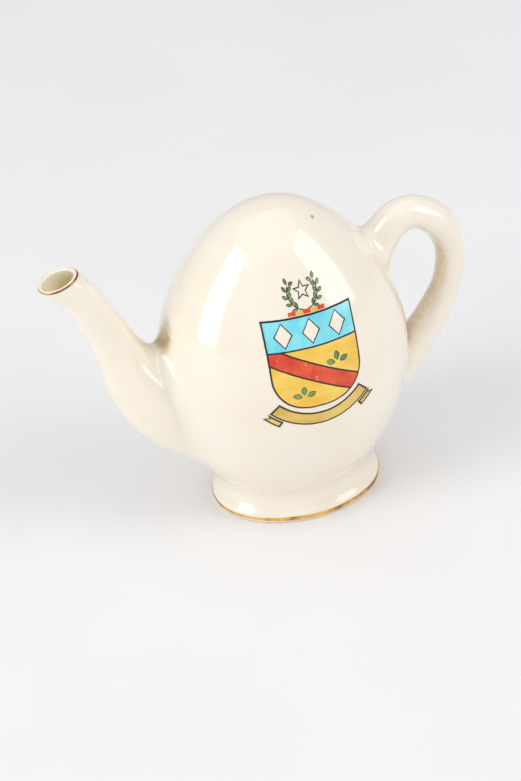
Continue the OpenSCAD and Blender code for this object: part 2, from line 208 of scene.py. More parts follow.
class Finish:
    """A material with a Principled shader, object coordinates and a few noises."""

    def __init__(self, name, **constants):
        self.material = bpy.data.materials.new(name)
        self.material.use_nodes = True
        tree = self.material.node_tree
        self.shader = tree.nodes["Principled BSDF"]
        for socket, value in constants.items():
            self.shader.inputs[socket.replace("_", " ")].default_value = value
        self.place = Flow(tree, None).node("ShaderNodeTexCoord", output="Object")
        split = self.place.node("ShaderNodeSeparateXYZ", {0: self.place})
        outs = split.socket.node.outputs
        self.x, self.y, self.z = (Flow(tree, outs[k]) * PER_METRE for k in range(3))

    def cloud(self, size_mm, detail=2.0, roughness=0.5, stretch=(1, 1, 1), offset=0.0):
        """Soft noise between 0 and 1 whose lumps are about size_mm across."""
        spot = self.place.node("ShaderNodeMapping", {"Vector": self.place, "Scale": stretch,
                                                     "Location": (offset, offset, offset)})
        return self.place.node("ShaderNodeTexNoise", {
            "Vector": spot, "Scale": PER_METRE / size_mm, "Detail": detail,
            "Roughness": roughness})

    def spots(self, apart_mm, size, offset=0.0, uneven=0.3):
        """1 inside small round spots, strewn about apart_mm from each other."""
        spot = self.place.node("ShaderNodeMapping", {"Vector": self.place,
                                                     "Location": (offset, offset, offset)})
        far = self.place.node("ShaderNodeTexVoronoi", {"Vector": spot, "Scale": PER_METRE / apart_mm})
        some = self.cloud(apart_mm * 2.3, detail=0.0, offset=offset + 1.7)
        here = some.between(0.5 + uneven * 0.3, 0.62 + uneven * 0.3)
        return (1 - far.between(size * 0.5, size)) * here

    def near(self, x, y, z, radius):
        """1 at a place given in millimetres, fading to 0 at radius."""
        far = self.place.node("ShaderNodeVectorMath", {0: self.place, 1: (x * MM, y * MM, z * MM)},
                              output=1, operation="DISTANCE")
        return 1 - (far * PER_METRE).between(0.0, radius)

    def bumps(self, *layers):
        """Chain bump nodes: each layer is (height, depth in millimetres)."""
        link = None
        for height, depth in layers:
            inputs = {"Height": height, "Distance": depth * MM, "Strength": 1.0}
            if link is not None:
                inputs["Normal"] = link
            link = self.place.node("ShaderNodeBump", inputs)
        self.feed("Normal", link)

    def feed(self, socket, flow):
        self.material.node_tree.links.new(flow.socket, self.shader.inputs[socket])

    def on(self, *pieces):
        for piece in pieces:
            piece.data.materials.clear()
            piece.data.materials.append(self.material)


# %% [markdown]
# ## The ivory glaze
# The pot is pale earthenware under a clear, slightly yellow glaze. Light goes through the
# glaze, so the colour is warm. In the hollows of the joints it is painted tan: partly glaze
# that ran thick there, partly painted shade where the hollows lie in shadow. A fired glaze
# is never quite flat: it has long, faint waves, which bend the reflections of the windows,
# and a few pinholes. The waves are bump far too shallow to see by themselves. Two attributes
# say where the colour differs: the first is 1 in those hollows and on the handle's inner
# face, and "bore" is 1 inside the spout, which is painted bright yellow, as painted light in
# a bore that gets light only from above. A piece stores those that it needs with its points,
# and one that it lacks reads as 0.

# %% Ivory glaze
CREAM = rgb(0.94, 0.875, 0.75)
CREAM_DEEP = rgb(0.925, 0.84, 0.69)
# Bright yellow for the spout's bore: painted light, since the bore gets light only from above.
BORE_YELLOW_PAINTED_LIGHT = rgb(0.97, 0.87, 0.53)
# Tan for glaze that lies thick in the joints' hollows, and for the painted shade in them.
TAN_POOL_AND_SHADE = rgb(0.52, 0.36, 0.15)
SPECK_GREY = rgb(0.33, 0.29, 0.24)


def ivory(name, pooled_and_shaded=True, specks=()):
    glaze = Finish(name, Coat_Roughness=0.025, Coat_IOR=1.5, Coat_Weight=1.0, IOR=1.5)
    drift = glaze.cloud(16, detail=3).between(0.3, 0.75)
    colour = drift.tint(CREAM, CREAM_DEEP)
    if pooled_and_shaded:
        # Thick glaze and painted shade: 1 in the joints' hollows and on the handle's inner face, which are
        # painted tan.
        thick = glaze.place.node("ShaderNodeAttribute", output=2, attribute_name="pooled_and_shaded")
        ragged_pool_and_shade = thick * (0.55 + 0.9 * glaze.cloud(1.1, detail=4, roughness=0.65))
        colour = ragged_pool_and_shade.between(0.2, 1.0).tint(colour, TAN_POOL_AND_SHADE)
        # Inside the spout the colour turns bright yellow: painted light in the bore.
        bore = glaze.place.node("ShaderNodeAttribute", output=2, attribute_name="bore")
        colour = bore.tint(colour, BORE_YELLOW_PAINTED_LIGHT)
    pin = glaze.spots(7.5, 0.018, offset=0.31) * 0.5
    colour = pin.tint(colour, SPECK_GREY)
    for x, y, z, radius, shade, strength in specks:
        ring = glaze.near(x, y, z, radius) * (0.55 + glaze.cloud(0.45, detail=2))
        colour = (ring.between(0.25, 0.8) * strength).tint(colour, shade)
    glaze.feed("Base Color", colour)
    glaze.feed("Roughness", 0.14 + 0.08 * glaze.cloud(6, detail=2))
    glaze.bumps((glaze.cloud(11, detail=1), 0.05), (glaze.cloud(2.6, detail=2), 0.004),
                (pin, -0.02))
    return glaze


body_glaze = ivory("ivory_glaze_body", specks=(
    (6.5, -4.9, 59.3, 0.85, SPECK_GREY, 0.75),))
foot_glaze = ivory("ivory_glaze_foot", pooled_and_shaded=False, specks=(
    (3.0, -13.3, 6.9, 0.8, rgb(0.62, 0.46, 0.16), 0.5),))
joint_glaze = ivory("ivory_glaze_joints")
print("glazes:", body_glaze.material.name, foot_glaze.material.name, joint_glaze.material.name)


# %% [markdown]
# Each of the two attributes is one number per point. A helper stores it under its name,
# from a rule that is given the point's place in millimetres.

# %% Storing a number with every point
def store(piece, name, rule):
    layer = piece.data.attributes.new(name, "FLOAT", "POINT")
    for point, value in zip(piece.data.vertices, layer.data):
        value.value = rule(point.co / MM)


def fade(value, start, end):
    """0 up to start, 1 from end on, with a soft step between."""
    t = min(1.0, max(0.0, (value - start) / (end - start)))
    return t * t * (3 - 2 * t)


# %% [markdown]
# ## The body
# The body is slip-cast, which gives the same even wall as a pot turned on a wheel. The
# quickest way to a turned form is a lathe: one point is extruded along the section, up the
# outside and down the inside, and the section is spun round the upright axis. Squeezing
# the result front to back makes it oval. The crown's two poles are merged when the seams
# are closed, so the shell is one closed solid.

# %% A lathe
def drawn_section(name, section):
    """One point, extruded along a section of (radius, height) in millimetres."""
    let_go()
    bpy.ops.mesh.primitive_plane_add(size=MM)
    piece = bpy.context.object
    piece.name = piece.data.name = name
    bpy.ops.object.mode_set(mode="EDIT")
    bpy.ops.mesh.merge(type="CENTER")
    bpy.ops.mesh.select_all(action="SELECT")
    r, z = section[0]
    bpy.ops.transform.translate(value=(r * MM, 0, z * MM))
    for (r, z), (r2, z2) in zip(section, section[1:]):
        bpy.ops.mesh.extrude_region_move(
            TRANSFORM_OT_translate={"value": ((r2 - r) * MM, 0, (z2 - z) * MM)})
    return piece


def turned(name, section, steps=144, angle=35):
    piece = drawn_section(name, section)
    bpy.ops.mesh.select_all(action="SELECT")
    bpy.ops.mesh.spin(steps=steps, angle=2 * pi, center=(0, 0, 0), axis=(0, 0, 1))
    bpy.ops.mesh.select_all(action="SELECT")
    bpy.ops.transform.resize(value=(1, OVAL, 1), center_override=(0, 0, 0))
    close_up(piece, angle=angle)
    return piece


def egg_section(grow, z_from, z_to, pieces):
    """Points of the egg's section, close together where it turns over the crown."""
    heights = [z_from + (z_to - z_from) * cos(pi / 2 * k / pieces) for k in range(pieces + 1)]
    return [(egg_half(height, grow), height) for height in heights]


outer = egg_section(0.0, OPEN_Z, CROWN_Z, pieces=84)
outer[0] = (0.0, CROWN_Z)
inner = egg_section(-WALL, OPEN_Z, CROWN_Z - WALL, pieces=36)
inner[0] = (0.0, CROWN_Z - WALL)
pot_body = turned("pot_body", outer + inner[::-1])
body_glaze.on(pot_body)
belongs(pot_body, "ivory_glaze", "body_shell")

# %% [markdown]
# ## The foot
# The foot flares out from the waist and tucks under at its lower edge. Its section is a
# closed loop: up the hidden inside, down the flare, which is a hollow arc that touches the
# egg, and round the standing edge. The last stretch runs on a little under the egg's skin,
# so that foot and body shade as one surface, as they do under one coat of glaze.

# %% Foot
ring_low, ring_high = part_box("foot_ring")
FOOT_W = (ring_high.x - ring_low.x) / MM
FLARE_R, WAIST_W, RING_W = 4.0, 30.0, 3.2
FLARE_X = WAIST_W / 2 + FLARE_R
WAIST_Z = BELLY_Z - sqrt((LOWER_R + FLARE_R) ** 2 - (FLARE_X - LOWER_X) ** 2)
flare_turn = atan2(BELLY_Z - WAIST_Z, FLARE_X - LOWER_X)
FLARE_STOP, FLARE_PIECES, FLARE_OUT = radians(-41), 30, 0.02
RUN_ON = 0.9
foot_half, foot_in = FOOT_W / 2, FOOT_W / 2 - RING_W

flare = []
for k in range(FLARE_PIECES + 1):
    turn = flare_turn - (flare_turn - FLARE_STOP) * k / FLARE_PIECES
    flare.append((FLARE_X + FLARE_OUT - FLARE_R * cos(turn), WAIST_Z + FLARE_R * sin(turn)))
top_z = flare[0][1]
under = [(egg_half(top_z + rise) - sink, top_z + rise)
         for rise, sink in ((RUN_ON, 0.3), (0.35, 0.05))]
edge = [(foot_half - 0.22, 2.02), (foot_half - 0.08, 1.72), (foot_half - 0.015, 1.4),
        (foot_half, 1.1), (foot_half, 0.75), (foot_half - 0.06, 0.45), (foot_half - 0.22, 0.2),
        (foot_half - 0.5, 0.05), (foot_half - 0.9, 0.0), (foot_half - 1.8, 0.0),
        (foot_in + 0.5, 0.0), (foot_in + 0.15, 0.12), (foot_in, 0.5)]
hidden = [(foot_in, 2.0), (foot_in, 4.0), (foot_in, 6.0),
          (egg_half(top_z + RUN_ON) - 0.9, top_z + RUN_ON)]
foot_section = under + flare + edge + hidden
pot_foot = turned("pot_foot", foot_section + foot_section[:1], angle=50)
foot_glaze.on(pot_foot)
belongs(pot_foot, "ivory_glaze", "foot_ring")

# %% [markdown]
# ## Tubes that grow out of the body
# Spout and handle are pulled or cast apart and stuck on with slip, which is smoothed out
# over the joint. A sheet of faces rolled into a tube gives full control: each row of the
# sheet is one ring round the route. Where a tube meets the egg, every line along it is
# bent out with a Bezier arc whose far end touches the egg's skin, which is the shape that
# a wet finger gives the slip. Two more rows run on under the skin and close the tube.

# %% Rings along a route
AROUND = 80
BURIED = 0.7


def smooth_route(points, steps=10):
    """A Catmull-Rom curve through (x, z, radius) points, as on the frame's own tubes."""
    route = []
    for i in range(len(points) - 1):
        p0, p1 = points[max(i - 1, 0)], points[i]
        p2, p3 = points[i + 1], points[min(i + 2, len(points) - 1)]
        for k in range(steps):
            t = k / steps
            route.append(tuple((2 * b + (c - a) * t + (2 * a - 5 * b + 4 * c - d) * t * t
                                + (3 * b - a - 3 * c + d) * t**3) / 2
                               for a, b, c, d in zip(p0, p1, p2, p3)))
    route.append(tuple(points[-1]))
    return route


def ring_lines(route, wide=1.0, thinner=(0.0, 0.0)):
    """For each place around the tube, the line of points that runs along it."""
    last = len(route) - 1
    lines = [[] for _ in range(AROUND)]
    for i, (x, z, r) in enumerate(route):
        ahead, behind = route[min(i + 1, last)], route[max(i - 1, 0)]
        along = Vector((ahead[0] - behind[0], 0, ahead[1] - behind[1])).normalized()
        r = r - thinner[0] - (thinner[1] - thinner[0]) * i / last
        for s in range(AROUND):
            turn = 2 * pi * s / AROUND
            lines[s].append(Vector((x - along.z * r * cos(turn), wide * r * sin(turn),
                                    z + along.x * r * cos(turn))))
    return lines


def cut_line(line, measure, halvings=30):
    """The stretch of a line up to where measure turns negative, with that point last."""
    kept = [line[0]]
    for a, b in zip(line, line[1:]):
        if measure(b) < 0 <= measure(a):
            for _ in range(halvings):
                mid = (a + b) / 2
                a, b = (mid, b) if measure(mid) >= 0 else (a, mid)
            return kept + [b]
        kept.append(b)
    return kept


def paced(line, start, end, shares):
    """Points of a line at these shares of its length between start and end, in mm."""
    marks = [0.0]
    for a, b in zip(line, line[1:]):
        marks.append(marks[-1] + (b - a).length)
    total, points = marks[-1], []
    for share in shares:
        want = start + (total - end - start) * share
        i = max(k for k in range(len(line) - 1) if marks[k] <= want or k == 0)
        span = marks[i + 1] - marks[i]
        points.append(line[i].lerp(line[i + 1], (want - marks[i]) / span if span else 0.0))
    return points


def wall_direction(line, route):
    """The direction out of the tube's wall at the line's last point."""
    end = line[-1]
    middle = min((Vector((x, 0, z)) for x, z, _ in route), key=lambda p: (p - end).length)
    into = (line[-1] - line[-2]).normalized()
    return ((end - middle) - (end - middle).dot(into) * into).normalized()


def flared_end(line, route, spread, rows=18, least_slope=0.05, longest=0.8, ease=0.35):
    """The rows of one line's flare, from its wall on to the egg, and under its skin."""
    meet = on_egg(line[-1])
    before = paced(line, 0, spread, [1.0])[0]
    into, out = (line[-1] - line[-2]).normalized(), egg_normal(meet)
    sideways = wall_direction(line, route)
    sideways = (sideways - sideways.dot(out) * out).normalized()
    touch = on_egg(meet + sideways * spread)
    lift = egg_normal(touch)
    reach = (meet - touch).dot(lift) / min(-least_slope, into.dot(lift))
    corner = meet - into * min(max(reach, 0.0), spread * longest)
    arc = []
    for k in range(1, rows + 1):
        t = k / rows
        t = t + ease * t * (1 - t)
        arc.append((1 - t) ** 2 * before + 2 * t * (1 - t) * corner + t * t * touch)
    further = on_egg(touch + sideways * 0.5, -0.02)
    return arc + [further, on_egg(touch, -BURIED)]


def rolled(name, rows):
    """A sheet of faces rolled into a tube: rows of points in millimetres."""
    let_go()
    bpy.ops.mesh.primitive_grid_add(x_subdivisions=AROUND, y_subdivisions=len(rows) - 1, size=1)
    piece = bpy.context.object
    piece.name = piece.data.name = name
    for point in piece.data.vertices:
        s = round((point.co.x + 0.5) * AROUND) % AROUND
        row = round((point.co.y + 0.5) * (len(rows) - 1))
        point.co = rows[row][s] * MM
    close_up(piece, angle=50)
    return piece


def even(count):
    return [k / (count - 1) for k in range(count)]


def rows_across(lines):
    """Lines that run along a tube, turned into the rows that run round it."""
    return [[line[row] for line in lines] for row in range(len(lines[0]))]


# %% [markdown]
# ## The spout
# The spout is hollow, thin at the lip and thick at the root, and its mouth is cut on a
# slope. The rows start inside the root, run up the bore to the lip, roll over it in a half
# circle, come down the outside, and flare on to the body. The joint is tight in the
# hollow above the spout and wide below it, so the flare's spread changes round the tube.

# %% Spout
SPOUT = [(-42.7, 59.3, 3.5), (-40.9, 57.0, 3.5), (-37.3, 52.8, 3.55), (-33.9, 45.6, 3.8),
         (-31.3, 39.0, 4.6), (-28.4, 32.3, 6.3), (-24.2, 26.2, 7.6), (-18.5, 20.8, 7.8),
         (-10.5, 15.5, 7.4)]
LIP_WALL, ROOT_WALL, LIP_SLOPE = 0.6, 2.0, radians(15)
lip_up = Vector((-sin(LIP_SLOPE), 0, cos(LIP_SLOPE)))
lip_at = Vector((SPOUT[1][0], 0, SPOUT[1][1])) - lip_up * LIP_WALL * 0.35


def below_lip(line):
    """The stretch of a line that lies below the sloping cut."""
    kept = cut_line(line[::-1], lambda p: -(p - lip_at).dot(lip_up))
    return kept[::-1]


spout_route = smooth_route(SPOUT)
BORE_ROWS, ROLL_PIECES, WALL_ROWS = 22, 10, 58
ROLL_HIGH = 0.85
spout_rows_by_line = []
for s, (wall, bore) in enumerate(zip(ring_lines(spout_route),
                                     ring_lines(spout_route, thinner=(LIP_WALL, ROOT_WALL)))):
    turn = 2 * pi * s / AROUND
    wall, bore = cut_line(below_lip(wall), outside), cut_line(below_lip(bore), outside)
    lip_mid, lip_arm = (wall[0] + bore[0]) / 2, (wall[0] - bore[0]) / 2
    roll = [lip_mid - lip_arm * cos(pi * k / ROLL_PIECES)
            + lip_up * lip_arm.length * ROLL_HIGH * sin(pi * k / ROLL_PIECES)
            for k in range(ROLL_PIECES + 1)]
    below = 0.5 - 0.5 * cos(turn)
    spread = 5.4 * (1 - below) ** 2 + 7.0 * below * (1 - below) + 5.3 * below**2
    flare_rows = flared_end(wall, spout_route, spread)
    deep = on_egg(bore[-1], -BURIED)
    spout_rows_by_line.append([deep] + paced(bore, 0, 0.3, even(BORE_ROWS))[::-1] + roll[1:-1]
                              + paced(wall, 0, spread, even(WALL_ROWS)) + flare_rows + [deep])
pot_spout = rolled("pot_spout", rows_across(spout_rows_by_line))

notch = spout_rows_by_line[0][-4]
print("hollow over the spout at", [round(v, 1) for v in notch])

# %% [markdown]
# ## The handle
# The handle is a strip pulled from clay and bent into a loop, a little wider than thick.
# It swells where it springs from the shoulder and thins towards the lower joint. Both ends
# are worked on to the body in the same way as the spout's root.

# %% Handle
THICK, BROAD = 5.8, 6.2 / 5.8
HANDLE = [(x, z, THICK * share) for x, z, share in (
    (16.0, 43.5, 0.62), (20.6, 48.2, 0.60), (24.2, 51.5, 0.56), (28.4, 51.7, 0.54),
    (32.7, 48.2, 0.55), (34.5, 42.3, 0.48), (33.5, 35.3, 0.47), (30.1, 29.0, 0.53),
    (25.6, 23.2, 0.58), (21.0, 17.4, 0.54), (15.3, 13.4, 0.40))]


def end_spread(turn, over, under, side):
    """How far the slip spreads at one place around a joint."""
    up = 0.5 + 0.5 * cos(turn)
    return over * up**2 + under * (1 - up) ** 2 + side * 2 * up * (1 - up)


handle_route = smooth_route(HANDLE)
HALF_ROWS = 40
handle_lines = []
for s, line in enumerate(ring_lines(handle_route, wide=BROAD)):
    turn = 2 * pi * s / AROUND
    half = len(line) // 2
    upper = cut_line(line[half::-1], outside)
    lower = cut_line(line[half:], outside)
    spread_up = end_spread(turn, over=2.4, under=4.4, side=2.8)
    spread_low = end_spread(turn, over=2.2, under=2.6, side=2.2)
    top = flared_end(upper, handle_route, spread_up)
    foot = flared_end(lower, handle_route, spread_low)
    handle_lines.append(top[::-1] + paced(upper, 0, spread_up, even(HALF_ROWS))[::-1]
                        + paced(lower, 0, spread_low, even(HALF_ROWS))[1:] + foot)


def closed_end(rows, row):
    """The middle of a row, repeated, so that the row closes on one point."""
    middle = sum(rows[row], Vector()) / AROUND
    return [middle.copy() for _ in range(AROUND)]


handle_rows = rows_across(handle_lines)
handle_rows = [closed_end(handle_rows, 0)] + handle_rows + [closed_end(handle_rows, -1)]
pot_handle = rolled("pot_handle", handle_rows)

# %% [markdown]
# Glaze gathers in the tight hollows while it melts, and the same hollows lie in shade. A rule
# for each piece says how much tan goes on there, thick glaze and painted shade together: most
# in the hollow over the spout and on the handle's inner side, next to the body. The inner face
# of the handle's loop gets painted shade alone. One more rule marks the wall of the bore,
# which shows inside the mouth and is painted bright, as painted light.

# %% Pooled glaze and painted shade in the joints
def pooled_and_shaded_spout(p):
    near_egg = 1 - fade(outside(p), 0.0, 2.8)
    return near_egg * fade(p.z, 24, 35) * (1 - fade(abs(p.y), 1.0, 5.0))


def spout_bore(p):
    """1 on the wall of the bore, from just under the lip."""
    x, z, r = min(spout_route, key=lambda point: hypot(p.x - point[0], p.z - point[1]))
    within = (p - Vector((x, 0, z))).length < r - LIP_WALL / 2
    return fade((lip_at - p).dot(lip_up), 0.0, 3.0) if within else 0.0


def pooled_and_shaded_handle(p):
    near_egg = 1 - fade(outside(p), 0.0, 2.6)
    inner_side = 1 - fade(abs(p.y), 1.5, 4.5)
    inside_loop = fade(p.z, 22, 26) * (1 - fade(p.z, 45, 48))
    x, z, r = min(handle_route, key=lambda point: hypot(p.x - point[0], p.z - point[1]))
    # Painted shade on the loop's inner face, which faces the body and lies in shadow.
    loop_face = fade((x - p.x) / r, 0.0, 0.9) * fade(p.z, 20, 27) * (1 - fade(p.z, 44, 52))
    return max(near_egg * (0.35 + 0.65 * inside_loop) * inner_side, 0.55 * loop_face)


UNDER_HANDLE, OVER_HANDLE_ROOT = Vector((20.2, 0, 44.5)), Vector((23.0, 0, 27.5))


def pool_and_shade_spot(p, middle, start, end):
    """1 up to start from the middle of a patch of thick glaze and painted shade, and 0 from end on."""
    return 1 - fade((p - middle).length, start, end)


def pooled_and_shaded_body(p):
    # Painted shade and thick glaze round the hollow over the spout and where the handle's roots meet the
    # body.
    over_spout = pool_and_shade_spot(p, notch, 0.6, 4.8)
    in_loop = max(pool_and_shade_spot(p, UNDER_HANDLE, 0.5, 3.8), 0.8 * pool_and_shade_spot(p, OVER_HANDLE_ROOT, 0.5, 3.8))
    return 0.75 * max(over_spout, in_loop)


store(pot_spout, "pooled_and_shaded", pooled_and_shaded_spout)
store(pot_spout, "bore", spout_bore)
store(pot_handle, "pooled_and_shaded", pooled_and_shaded_handle)
store(pot_body, "pooled_and_shaded", pooled_and_shaded_body)
joint_glaze.on(pot_spout, pot_handle)
belongs(pot_spout, "ivory_glaze", "spout", "spout_slip")
belongs(pot_handle, "ivory_glaze", "handle", "handle_slip_upper", "handle_slip_lower")

# %% [markdown]
# ## Gilding
# Gold was brushed round the foot and on the lip, and fired on. A brush line is a little
# uneven, and handling wears it: the glaze shows through in thin places, and the edges turn
# brown. Each line is a thin closed band of its own, laid on the piece under it. The lip's
# line is widest on the badge's side and nearly worn away at the back.

# %% Gilding finish
GOLD, GOLD_DARK = rgb(0.94, 0.60, 0.19), rgb(0.36, 0.17, 0.045)


def gilding(name, wear, brown, bare_back=0.0):
    """Worn gold: less of it for a small wear, browner for a small brown."""
    gilt = Finish(name, IOR=1.5)
    rubbed = gilt.cloud(1.6, detail=4, roughness=0.7) * 0.7 + gilt.cloud(0.35, detail=2) * 0.3
    worn = (rubbed + gilt.y.between(-1.5, 2.0) * bare_back).between(wear, wear + 0.07)
    shade = gilt.cloud(3.5, detail=2, offset=0.4).between(brown, brown + 0.35)
    colour = worn.tint(shade.tint(GOLD, GOLD_DARK), CREAM_DEEP)
    gilt.feed("Base Color", colour)
    gilt.feed("Metallic", 1 - worn)
    gilt.feed("Roughness", 0.2 + 0.18 * gilt.cloud(0.9, detail=3))
    gilt.bumps((gilt.cloud(0.5, detail=2), 0.004))
    return gilt


foot_gilding = gilding("gilding_foot", wear=0.64, brown=0.35)
lip_gilding = gilding("gilding_lip", wear=0.6, brown=0.2, bare_back=0.2)

# %% [markdown]
# The foot's line follows the standing edge, so its section is taken from the foot's own
# points and turned on the same lathe. Noise then moves it up and down and makes it broader
# or narrower, as a brush held against a turning pot does.

# %% Gilt line on the foot
GILT_T, GILT_SUNK = 0.05, 0.25
GILT_LOW, GILT_HIGH = 0.4, 1.6
outer_edge = edge[:7]
face = [(r, z) for r, z in outer_edge if GILT_LOW < z < GILT_HIGH]
outer_face = [(r + GILT_T, z) for r, z in face]
inner_face = [(r - GILT_SUNK, z) for r, z in face]
loop = outer_face + inner_face[::-1]
gilt_foot = turned("gilt_foot_band", loop + loop[:1], steps=180, angle=60)
for point in gilt_foot.data.vertices:
    spot = point.co / MM
    turn = atan2(spot.y, spot.x)
    wander = noise.noise(Vector((cos(turn), sin(turn), 0.3)) * 2.2) * 0.10
    width = 0.84 + 0.22 * noise.noise(Vector((cos(turn), sin(turn), 5.1)) * 1.6) + 0.12 * cos(turn)
    point.co.z = (1.0 + wander + (spot.z - 0.93) * width) * MM
foot_gilding.on(gilt_foot)
belongs(gilt_foot, "gilding", "gilt_foot_line")

# %% [markdown]
# The lip's line lies on the outer shoulder of the rolled lip. Each line of the spout gives
# it a few points, which are lifted a little for the gold's face and sunk for its back.

# %% Gilt line on the lip
LIP_LIFT, LIP_SUNK = 0.035, 0.12
lip_lines = []
first = 1 + BORE_ROWS
for s, line in enumerate(spout_rows_by_line):
    outward = (line[first + 8] - line[first]).normalized()
    slant = (outward * 0.7 + lip_up * 0.7).normalized()
    facing = 0.5 - 0.5 * sin(2 * pi * s / AROUND)
    last_point = line[first + 9].lerp(line[first + 10], 0.04 + 0.12 * facing)
    span = line[first + 6:first + 10] + [last_point]
    lifted = [p + slant * LIP_LIFT for p in span]
    sunk = [p - slant * LIP_SUNK for p in span]
    lip_lines.append(lifted + sunk[::-1] + lifted[:1])
gilt_lip = rolled("gilt_lip_band", rows_across(lip_lines))
lip_gilding.on(gilt_lip)
belongs(gilt_lip, "gilding", "gilt_lip_line")

# %% [markdown]
# ## The badge
# The badge is a print filled in by hand. Thin black lines were transferred to the glazed
# front and fired, and each colour was brushed between them and fired again, so every
# colour lies as a separate thin skin with a soft gloss. To make one, its outline is
# drawn flat, pushed back into a prism, and the prism is cut with a skin that follows the
# egg. The prism's corners are hand-drawn: noise moves them by a few hundredths.

# %% A skin over the front of the egg
SHIELD_Z, SHIELD_W, SHIELD_H, CHIEF_H = 46.8, 17.0, 17.4, 5.6
BEND_W, RIBBON_W, LINE_W = 2.8, 2.3, 0.32
SKIN_SUNK, SKIN_MARGIN, SKIN_REACH = 0.03, 0.5, SHIELD_W / 2 + 3.2
SKIN_LOW, SKIN_HIGH = 20.0, 57.0
PRISM_FROM, PRISM_LONG = -30.0, 28


def front(x, z):
    """The y of the egg's front at (x, z), in millimetres."""
    return -OVAL * sqrt(egg_half(z) ** 2 - x * x)


def enamel_skin(name, low_corner, high_corner, thick, pitch=0.45):
    """A closed skin of this thickness that lies on the front between two corners."""
    (x0, z0), (x1, z1) = low_corner, high_corner
    let_go()
    bpy.ops.mesh.primitive_grid_add(x_subdivisions=round((x1 - x0) / pitch),
                                    y_subdivisions=round((z1 - z0) / pitch), size=1)
    skin = bpy.context.object
    skin.name = name
    for point in skin.data.vertices:
        x = x0 + (x1 - x0) * (point.co.x + 0.5)
        z = z0 + (z1 - z0) * (point.co.y + 0.5)
        point.co = Vector((x, front(x, z) + SKIN_SUNK, z)) * MM
    bpy.ops.object.mode_set(mode="EDIT")
    bpy.ops.mesh.select_all(action="SELECT")
    bpy.ops.mesh.extrude_region_move(
        TRANSFORM_OT_translate={"value": (0, -(thick + SKIN_SUNK) * MM, 0)})
    close_up(skin)
    return skin


def prism(name, outlines, wobble=0.05):
    """Flat outlines in (x, z), filled and pushed through the front of the pot."""
    let_go()
    made = []
    for corners in outlines:
        bpy.ops.mesh.primitive_circle_add(vertices=len(corners), radius=MM, fill_type="NGON")
        flat = bpy.context.object
        ring = sorted(flat.data.vertices, key=lambda v: v.index)
        for point, (x, z) in zip(ring, corners):
            shift = noise.noise_vector(Vector((x * 0.9, 0.0, z * 0.9))) * wobble
            point.co = Vector((x + shift.x, PRISM_FROM, z + shift.z)) * MM
        bpy.ops.object.mode_set(mode="EDIT")
        bpy.ops.mesh.select_all(action="SELECT")
        bpy.ops.mesh.extrude_region_move(TRANSFORM_OT_translate={"value": (0, PRISM_LONG * MM, 0)})
        bpy.ops.mesh.select_all(action="SELECT")
        bpy.ops.mesh.normals_make_consistent(inside=False)
        bpy.ops.object.mode_set(mode="OBJECT")
        made.append(flat)
    let_go()
    for flat in made:
        flat.select_set(True)
    bpy.context.view_layer.objects.active = made[0]
    if len(made) > 1:
        bpy.ops.object.join()
    made[0].name = name
    return made[0]


def cut_by(piece, tool, operation):
    take_up(piece)
    cut = piece.modifiers.new("cut", "BOOLEAN")
    cut.operation, cut.object, cut.solver = operation, tool, "EXACT"
    bpy.ops.object.modifier_apply(modifier=cut.name)


def discard(*pieces):
    for piece in pieces:
        bpy.data.objects.remove(piece, do_unlink=True)


def close_thin(piece):
    """Close a skin that has been cut, with a gap smaller than its thickness."""
    close_up(piece, gap=2e-7, angle=30)


def trimmed(piece, outlines):
    """Keep only the part of a piece that lies inside these outlines."""
    tool = prism("trim", outlines)
    cut_by(piece, tool, "INTERSECT")
    discard(tool)
    close_thin(piece)


def painted(name, outlines, thick, without=()):
    """A thin piece of the badge: outlines laid on the egg, less other outlines."""
    xs = [x for outline in outlines for x, z in outline]
    zs = [z for outline in outlines for x, z in outline]
    low_corner = (max(min(xs) - SKIN_MARGIN, -SKIN_REACH), max(min(zs) - SKIN_MARGIN, SKIN_LOW))
    high_corner = (min(max(xs) + SKIN_MARGIN, SKIN_REACH), min(max(zs) + SKIN_MARGIN, SKIN_HIGH))
    skin = enamel_skin(name, low_corner, high_corner, thick)
    for tool_outlines, operation in ((outlines, "INTERSECT"), (without, "DIFFERENCE")):
        if tool_outlines:
            tool = prism("tool", tool_outlines)
            cut_by(skin, tool, operation)
            discard(tool)
    skin.data.name = name
    close_thin(skin)
    stray = max(abs(p.co.y / MM - front(p.co.x / MM, p.co.z / MM)) for p in skin.data.vertices)
    print(f"  farthest point from the egg: {stray:.3f} mm")
    return skin


# %% [markdown]
# The outlines themselves are plain geometry: a heater shield, a band across its top with
# three lozenges, a bend with two leaf sprigs beside it, a star between two branches, and
# a blank ribbon. Each colour is drawn a little smaller than its field, so that the print
# under it shows as a black line.

# %% Outlines of the badge
def dense(corners, step=0.7):
    """Corners with points added along the straight stretches."""
    points = []
    for (x0, z0), (x1, z1) in zip(corners, corners[1:] + corners[:1]):
        pieces = max(1, round(hypot(x1 - x0, z1 - z0) / step))
        points += [(x0 + (x1 - x0) * k / pieces, z0 + (z1 - z0) * k / pieces) for k in range(pieces)]
    return points


def shield(grow=0.0, top=SHIELD_Z, bottom=None):
    """The shield, or the part of it between two heights."""
    w, z = SHIELD_W / 2 + grow, SHIELD_Z - SHIELD_H * 0.6
    side = [(w * (cos(a) ** 0.75 if cos(a) > 1e-6 else 0.0), z + (SHIELD_H * 0.4 + grow) * sin(a))
            for a in [-pi / 2 * (1 - k / 16) for k in range(17)]]
    right = side + [(w, top + grow if top == SHIELD_Z else top)]
    if bottom is not None:
        right = [(w, bottom)] + right[-1:]
    left = [(-x, z) for x, z in right[::-1] if x > 1e-6]
    return dense(right + left)


CHIEF_Z = SHIELD_Z - CHIEF_H
BEND_Z, BEND_FALL = CHIEF_Z - 5.2, 0.55
HALF_LINE = LINE_W / 2


